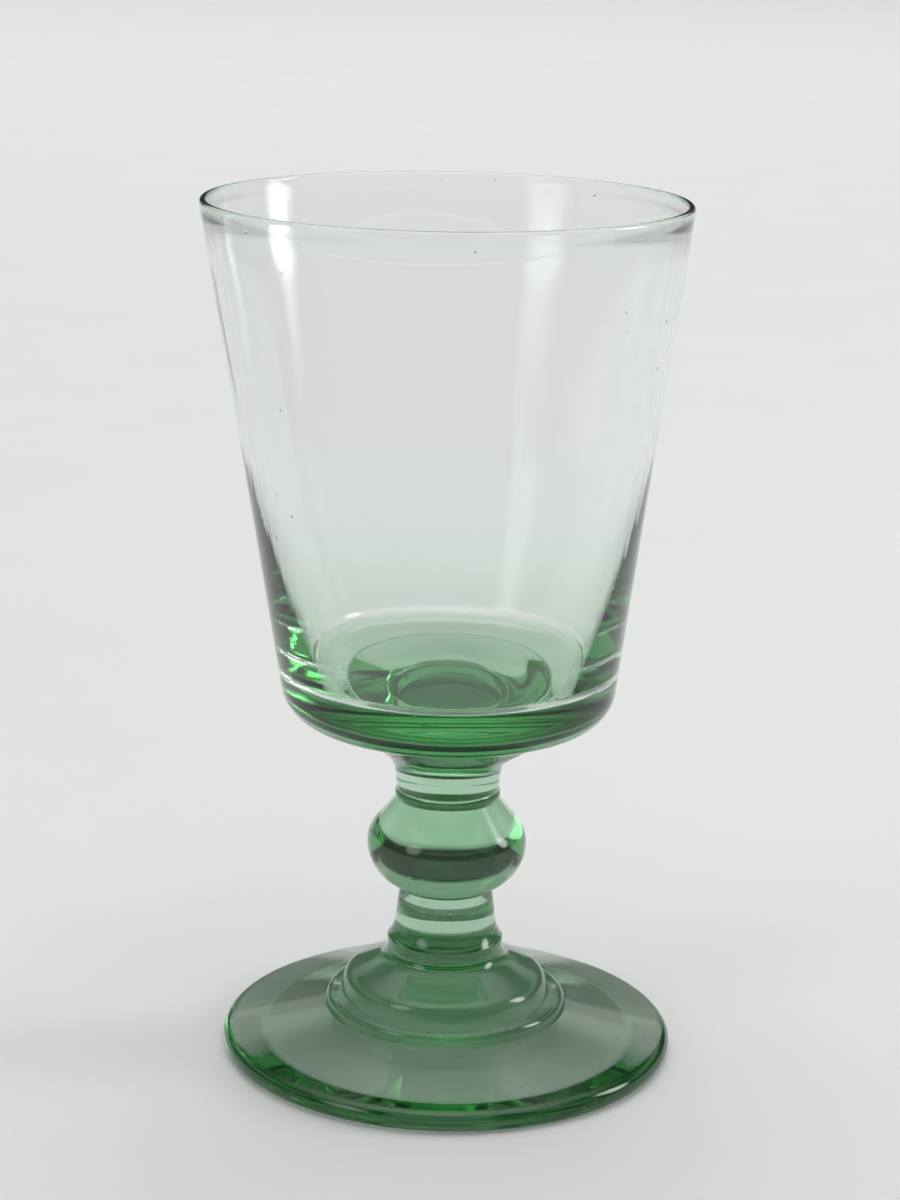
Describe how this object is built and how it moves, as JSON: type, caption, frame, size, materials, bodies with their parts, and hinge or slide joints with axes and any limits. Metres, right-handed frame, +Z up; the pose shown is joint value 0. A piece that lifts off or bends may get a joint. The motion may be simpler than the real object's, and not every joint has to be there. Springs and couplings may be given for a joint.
{
  "type": "wine glass",
  "caption": "Hand-made green wine glass: bucket bowl on a short knopped stem, domed shoulder and round conical foot.",
  "frame": {"origin": "centre of the circle that the foot stands on, on the table", "axes": "+Z up along the glass's axis; the glass is round, so X and Y are free"},
  "size_m": [0.0714, 0.0714, 0.13],
  "materials": {
    "bowl_glass": "clear blown glass, fire polished, faint green that deepens where the wall is thick",
    "stem_glass": "clear solid glass, fire polished, mid green from its thickness",
    "foot_glass": "clear spun glass, fire polished, grey-green top and dark green rim"
  },
  "bodies": {
    "root": {"bowl": "bowl_glass", "neck": "stem_glass", "knop": "stem_glass", "stem": "stem_glass", "shoulder": "foot_glass", "collar": "foot_glass", "foot": "foot_glass"}
  },
  "joints": []
}
